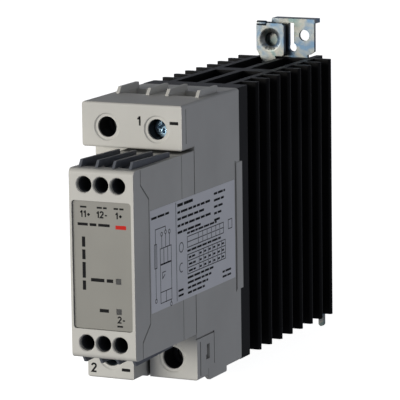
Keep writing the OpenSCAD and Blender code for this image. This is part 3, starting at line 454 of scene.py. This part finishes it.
class Sheet:
    """Marks printed on a flat face. u runs along the print, v up it, both in metres."""

    def __init__(self, name, origin, u_axis, v_axis, body, slot, material):
        self.name, self.body, self.slot, self.material = name, body, slot, material
        self.origin, self.u, self.v = Vector(origin), Vector(u_axis), Vector(v_axis)
        self.out = self.u.cross(self.v)
        self.mesh = bmesh.new()

    def point(self, u, v, height):
        return self.origin + self.u * u + self.v * v + self.out * height

    def prism(self, outline):
        """A thin raised patch from an outline of (u, v) points, counterclockwise."""
        low = [self.mesh.verts.new(self.point(u, v, -INK_T / 2)) for u, v in outline]
        top = [self.mesh.verts.new(self.point(u, v, INK_T)) for u, v in outline]
        self.mesh.faces.new(top)
        self.mesh.faces.new(low[::-1])
        for i in range(len(outline)):
            j = (i + 1) % len(outline)
            self.mesh.faces.new((low[i], low[j], top[j], top[i]))

    def bar(self, u0, v0, u1, v1):
        self.prism([(u0, v0), (u1, v0), (u1, v1), (u0, v1)])

    def line(self, a, b, width):
        a, b = Vector(a), Vector(b)
        along = (b - a).normalized()
        side = Vector((-along.y, along.x)) * width / 2
        a, b = a - along * width / 2, b + along * width / 2
        self.prism([tuple(p) for p in (a - side, b - side, b + side, a + side)])

    def band(self, outer, inner, closed=True):
        """A raised strip between two rows of (u, v) points, with the inner row on its left."""
        outer_top, outer_low, inner_top, inner_low = (
            [self.mesh.verts.new(self.point(u, v, height)) for u, v in row]
            for row in (outer, inner) for height in (INK_T, -INK_T / 2))
        face = self.mesh.faces.new
        for i in range(len(outer) - (not closed)):
            j = (i + 1) % len(outer)
            face((outer_top[i], outer_top[j], inner_top[j], inner_top[i]))
            face((inner_low[i], inner_low[j], outer_low[j], outer_low[i]))
            face((outer_low[i], outer_low[j], outer_top[j], outer_top[i]))
            face((inner_low[j], inner_low[i], inner_top[i], inner_top[j]))
        if not closed:
            face((inner_low[0], outer_low[0], outer_top[0], inner_top[0]))
            face((outer_low[-1], inner_low[-1], inner_top[-1], outer_top[-1]))

    def frame(self, u0, v0, u1, v1, width):
        w = width
        self.band([(u0, v0), (u1, v0), (u1, v1), (u0, v1)],
                  [(u0 + w, v0 + w), (u1 - w, v0 + w), (u1 - w, v1 - w), (u0 + w, v1 - w)])

    def grid(self, u0, v0, u1, v1, columns, rows, width):
        """Table lines, with columns given as shares of the table's width."""
        self.frame(u0, v0, u1, v1, width)
        for r in range(1, rows):
            v = v0 + (v1 - v0) * r / rows
            self.bar(u0 + width, v - width / 2, u1 - width, v + width / 2)
        for share in columns:
            u = u0 + (u1 - u0) * share
            for r in range(rows):
                low = v0 + (v1 - v0) * r / rows + width
                high = v0 + (v1 - v0) * (r + 1) / rows - width
                self.bar(u - width / 2, low, u + width / 2, high)

    def ring(self, u, v, radius, width, steps=20, start=0.0, turn=360.0):
        closed = turn >= 360
        angles = [math.radians(start + turn * k / steps) for k in range(steps + (not closed))]
        outer, inner = ([(u + r * math.cos(a), v + r * math.sin(a)) for a in angles]
                        for r in (radius + width / 2, radius - width / 2))
        self.band(outer, inner, closed)

    def words(self, u0, v0, length, height, rng, upright=False):
        """A stand-in for print: plain bars as long as words, with gaps between them."""
        at, bar = 0.0, height * 0.66
        while length - at > height:
            w = min(height * rng.uniform(1.6, 4.6), length - at)
            box = (at, (height - bar) / 2, at + w, (height + bar) / 2)
            if upright:
                self.bar(u0 - box[3], v0 + box[0], u0 - box[1], v0 + box[2])
            else:
                self.bar(u0 + box[0], v0 + box[1], u0 + box[2], v0 + box[3])
            at += w + height * 0.5

    def stroke(self, points, width):
        """A bar of even width that follows a line of points, with mitred corners."""
        points = [Vector(p) for p in points]
        left, right = [], []
        for i, point in enumerate(points):
            runs = [(points[k + 1] - points[k]).normalized() for k in (i - 1, i) if 0 <= k < len(points) - 1]
            normals = [Vector((-run.y, run.x)) for run in runs]
            middle = sum(normals, Vector((0, 0))).normalized()
            reach = width / 2 / max(0.35, middle.dot(normals[0]))
            left.append(tuple(point + middle * reach))
            right.append(tuple(point - middle * reach))
        self.prism(right + left[::-1])

    def digits(self, text, u, v, height, weight=0.17):
        """Numbers and signs drawn as bold strokes, centred at (u, v)."""
        w = height * weight
        arc = [(0.29 + 0.24 * math.cos(math.radians(a)), 0.71 + 0.23 * math.sin(math.radians(a)))
               for a in range(175, -31, -15)]
        shapes = {"1": (0.42, [[(0.03, 0.70), (0.22, 0.76), (0.30, 0.93)], [(0.31, 0.0), (0.31, 1.0)]]),
                  "2": (0.62, [arc + [(0.07, 0.08), (0.58, 0.08)]]),
                  "+": (0.55, [[(0.05, 0.42), (0.50, 0.42)], [(0.275, 0.2), (0.275, 0.64)]]),
                  "-": (0.45, [[(0.05, 0.42), (0.40, 0.42)]])}
        gap = 0.14
        total = sum(shapes[c][0] + gap for c in text) - gap
        pen = u - total * height / 2
        for c in text:
            for part in shapes[c][1]:
                self.stroke([(pen + x * height, v + (y - 0.5) * height) for x, y in part], w)
            pen += (shapes[c][0] + gap) * height

    def done(self):
        data = bpy.data.meshes.new(self.name)
        self.mesh.to_mesh(data)
        self.mesh.free()
        data.materials.append(self.material)
        obj = bpy.data.objects.new(self.name, data)
        bpy.context.scene.collection.objects.link(obj)
        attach(obj, self.body)
        return obj


X, Y, Z = Vector((1, 0, 0)), Vector((0, 1, 0)), Vector((0, 0, 1))
rng = random.Random(7)

# Front label: u to the right, v up, from the label's middle
label_low, label_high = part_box("front_label")
label_mid = (label_low + label_high) / 2
face = Vector((label_mid.x, label_low.y, label_mid.z))
half_u, half_v = (label_high.x - label_low.x) / 2, (label_high.z - label_low.z) / 2
guide_low, guide_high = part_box("light_guides")

front = Sheet("Front_label_print", face, X, Z, "relay", "label_foil", INK)
pitch = 5.75 * MM
for i, text in enumerate(("11+", "12-", "1+")):
    front.digits(text, (i - 1) * pitch, half_v - 4.0 * MM, 2.1 * MM, 0.21)
    front.words((i - 1) * pitch - 1.7 * MM, half_v - 2.3 * MM, 3.4 * MM, 0.85 * MM, rng)
front.words(-half_u + 1.6 * MM, half_v - 7.9 * MM, 11.0 * MM, 1.3 * MM, rng)
front.words(-half_u + 4.4 * MM, -half_v + 12.0 * MM, 18.5 * MM, 1.7 * MM, rng, upright=True)
for row, length in ((guide_high.z, 7.6), (guide_low.z + 1.7 * MM, 4.8)):
    v = row - face.z - 1.65 * MM
    u = guide_low.x - face.x - (length + 1.0) * MM
    front.words(u, v, length * MM, 1.6 * MM, rng)
front.digits("2-", half_u - 3.9 * MM, -half_v + 3.4 * MM, 2.1 * MM, 0.21)
front.words(half_u - 5.4 * MM, -half_v + 0.9 * MM, 3.0 * MM, 0.85 * MM, rng)
front.done()

accent = Sheet("Front_label_accent", face, X, Z, "relay", "label_foil", RED_INK)
accent.bar(half_u - 5.4 * MM, half_v - 8.2 * MM, half_u - 1.8 * MM, half_v - 7.0 * MM)
accent.done()

# Side label: u to the back, v up, from its lower front corner
side_low, side_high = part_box("side_label")
width, height = side_high.y - side_low.y, side_high.z - side_low.z
side = Sheet("Side_label_print", (side_high.x, side_low.y, side_low.z), Y, Z, "relay", "label_foil", INK)
thin = 0.25 * MM


def at(u, v):
    """A point on the side label from shares of its width and height."""
    return u * width, v * height


def side_bar(a, b, w=thin):
    side.line(at(*a), at(*b), w)


side.words(*at(0.012, 0.90), 12.5 * MM, 1.1 * MM, rng)
side_bar((0.292, 0.02), (0.292, 0.985))
side.frame(*at(0.105, 0.44), *at(0.235, 0.60), thin)
side_bar((0.148, 0.44), (0.148, 0.60))
side_bar((0.192, 0.44), (0.192, 0.60))
side.frame(*at(0.105, 0.06), *at(0.235, 0.44), thin)
side_bar((0.105, 0.17), (0.235, 0.17))
side_bar((0.17, 0.06), (0.17, 0.17))
side_bar((0.126, 0.60), (0.126, 0.72))
side_bar((0.17, 0.60), (0.17, 0.72))
side_bar((0.214, 0.60), (0.214, 0.72))
side_bar((0.055, 0.80), (0.17, 0.80))
side_bar((0.17, 0.80), (0.17, 0.76))
side_bar((0.055, 0.12), (0.055, 0.80))
side.frame(*at(0.04, 0.42), *at(0.07, 0.66), thin)
for u, v in ((0.126, 0.735), (0.17, 0.745), (0.214, 0.735), (0.055, 0.105), (0.225, 0.02)):
    side.ring(u * width, v * height, 0.62 * MM, thin)
side_bar((0.225, 0.06), (0.225, 0.035))
side_bar((0.13, 0.36), (0.165, 0.36))
side_bar((0.13, 0.30), (0.13, 0.36))
side_bar((0.13, 0.30), (0.155, 0.33), 0.3 * MM)

for row, (u, length) in enumerate(((0.31, 13), (0.31, 24), (0.31, 21), (0.31, 26), (0.31, 17))):
    side.words(u * width, (0.93 - row * 0.066) * height, length * MM, (1.45 if row == 0 else 1.15) * MM, rng)
for row in range(5):
    side.words(0.745 * width, (0.915 - row * 0.066) * height, (8.5 - row) * MM, 1.1 * MM, rng)
shares = [0.3, 0.42, 0.54, 0.66, 0.78, 0.89]
side.words(*at(0.42, 0.63), 22 * MM, 1.0 * MM, rng)
side.grid(*at(0.42, 0.50), *at(0.86, 0.615), shares, 2, thin)
side.words(*at(0.42, 0.453), 25 * MM, 1.0 * MM, rng)
side.grid(*at(0.42, 0.235), *at(0.88, 0.435), shares, 3, thin)
for row in range(3):
    for k, share in enumerate([0.02] + shares):
        side.words((0.42 + 0.46 * share) * width + 0.4 * MM, (0.252 + row * 0.0667) * height,
                   (5.0 if k == 0 else 1.5) * MM, 0.95 * MM, rng)
for row in range(4):
    side.words(0.42 * width, (0.185 - row * 0.05) * height, (20 - 2.5 * row) * MM, 1.05 * MM, rng)
for row in range(2):
    side.words(0.31 * width, (0.045 + row * 0.05) * height, 4.5 * MM, 1.0 * MM, rng)
    side.words(0.84 * width, (0.045 + row * 0.05) * height, 6.5 * MM, 1.0 * MM, rng)
side.frame(*at(0.915, 0.52), *at(0.965, 0.62), 0.25 * MM)
side.ring(0.35 * width, 0.53 * height, 1.5 * MM, 0.3 * MM, 28)
side.ring(0.35 * width, 0.33 * height, 1.4 * MM, 0.3 * MM, 28, 60, 240)
side.done()

# Terminal numbers on the power housing
house_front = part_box("power_housing")[0].y
marks = Sheet("Terminal_numbers_upper", (0, house_front, 0), X, Z, "relay", "housing_plastic", INK)
marks.digits("1", 2.6 * MM, 39.6 * MM, 3.0 * MM, 0.2)
marks.words(13.3 * MM, 38.6 * MM, 3.0 * MM, 1.5 * MM, rng)
marks.done()
lower = Sheet("Terminal_numbers_lower", (0, house_front, 0), X, Z, "relay", "housing_plastic", INK)
lower.digits("2", -14.9 * MM, -41.3 * MM, 3.0 * MM, 0.2)
lower.words(-5.0 * MM, -42.0 * MM, 3.0 * MM, 1.5 * MM, rng)
lower.done()


# ------------------------------------------------------------------ studio

def area_light(name, towards, distance, width, height, power, colour):
    """A soft light that shines on the object from the direction towards, seen from its centre."""
    light = bpy.data.lights.new(name, "AREA")
    light.shape, light.size, light.size_y = "RECTANGLE", width, height
    light.energy, light.color = power, colour
    obj = bpy.data.objects.new(name, light)
    bpy.context.scene.collection.objects.link(obj)
    direction = Vector(towards).normalized()
    obj.location = centre + direction * distance
    obj.rotation_euler = (-direction).to_track_quat("-Z", "Y").to_euler()
    return obj


floor_z = cad_low.z - 0.4 * MM
floor_mesh = bpy.data.meshes.new("Floor")
reach = 6.0
corners = [(-reach, -reach, 0), (reach, -reach, 0), (reach, reach, 0), (-reach, reach, 0)]
floor_mesh.from_pydata(corners, [], [(0, 1, 2, 3)])
floor = bpy.data.objects.new("Floor", floor_mesh)
floor.location = (0, 0, floor_z)
bpy.context.scene.collection.objects.link(floor)
ground = Paint("Floor_paper", Roughness=0.9, Emission_Color=(1, 1, 1, 1), Emission_Strength=0.92)
ground.finish(ground.ramp(ground.noise(0.004, 3), (0.3, (0.90, 0.90, 0.895)), (0.7, (0.93, 0.93, 0.925))))
floor.data.materials.append(ground.mat)
floor.visible_diffuse = floor.visible_glossy = False

# The room is brightest just above the horizon, so that the sides are lit and the top is not.
# Each pair is a place from straight down (0) to straight up (1), and the strength there.
SKY = ((0.25, 0.13), (0.55, 0.52), (0.65, 0.43), (0.775, 0.12))
SKY_BELOW, SKY_ABOVE = 0.13, 0.05
world = bpy.data.worlds.new("Studio")
bpy.context.scene.world = world
world.use_nodes = True
sky = world.node_tree
background = sky.nodes["Background"]
background.inputs["Color"].default_value = (0.85, 0.885, 1.0, 1)
heading = sky.nodes.new("ShaderNodeTexCoord")
split = sky.nodes.new("ShaderNodeSeparateXYZ")
half = sky.nodes.new("ShaderNodeMapRange")
half.inputs["From Min"].default_value = -1
level_light = sky.nodes.new("ShaderNodeValToRGB")
stops = level_light.color_ramp.elements
for place, strength in SKY:
    stops.new(place).color = (strength, strength, strength, 1)
stops[0].color, stops[-1].color = (*[SKY_BELOW] * 3, 1), (*[SKY_ABOVE] * 3, 1)
sky.links.new(heading.outputs["Generated"], split.inputs[0])
sky.links.new(split.outputs[2], half.inputs["Value"])
sky.links.new(half.outputs[0], level_light.inputs[0])
sky.links.new(level_light.outputs[0], background.inputs["Strength"])
backdrop = sky.nodes.new("ShaderNodeBackground")
backdrop.inputs["Color"].default_value = (1, 1, 1, 1)
seen = sky.nodes.new("ShaderNodeLightPath")
blend = sky.nodes.new("ShaderNodeMixShader")
sky.links.new(seen.outputs["Is Camera Ray"], blend.inputs[0])
sky.links.new(background.outputs[0], blend.inputs[1])
sky.links.new(backdrop.outputs[0], blend.inputs[2])
sky.links.new(blend.outputs[0], sky.nodes["World Output"].inputs["Surface"])

area_light("Key", towards=(-0.62, -0.80, 0.13), distance=2.2, width=1.9, height=0.72, power=39.5,
           colour=(1.0, 0.965, 0.895))
bpy.context.scene.view_settings.view_transform = "Standard"

# ------------------------------------------------------------------ camera

azimuth, elevation, roll = (math.radians(a) for a in (25.369, 9.986, -0.786))
target = Vector((13.991, -102.1, 11.762)) * MM
distance = 997.0 * MM
back = Vector((math.sin(azimuth) * math.cos(elevation), -math.cos(azimuth) * math.cos(elevation),
               math.sin(elevation)))
level = Vector((math.cos(azimuth), math.sin(azimuth), 0))
upward = back.cross(level)
right = level * math.cos(roll) + upward * math.sin(roll)
camera_data = bpy.data.cameras.new("Camera")
camera_data.sensor_width, camera_data.lens = 36, 280.61
camera_data.clip_start, camera_data.clip_end = 0.05, 20
camera = bpy.data.objects.new("Camera", camera_data)
turn = Matrix((right, back.cross(right), back)).transposed().to_4x4()
camera.matrix_world = Matrix.Translation(target + back * distance) @ turn
bpy.context.scene.collection.objects.link(camera)
bpy.context.scene.camera = camera
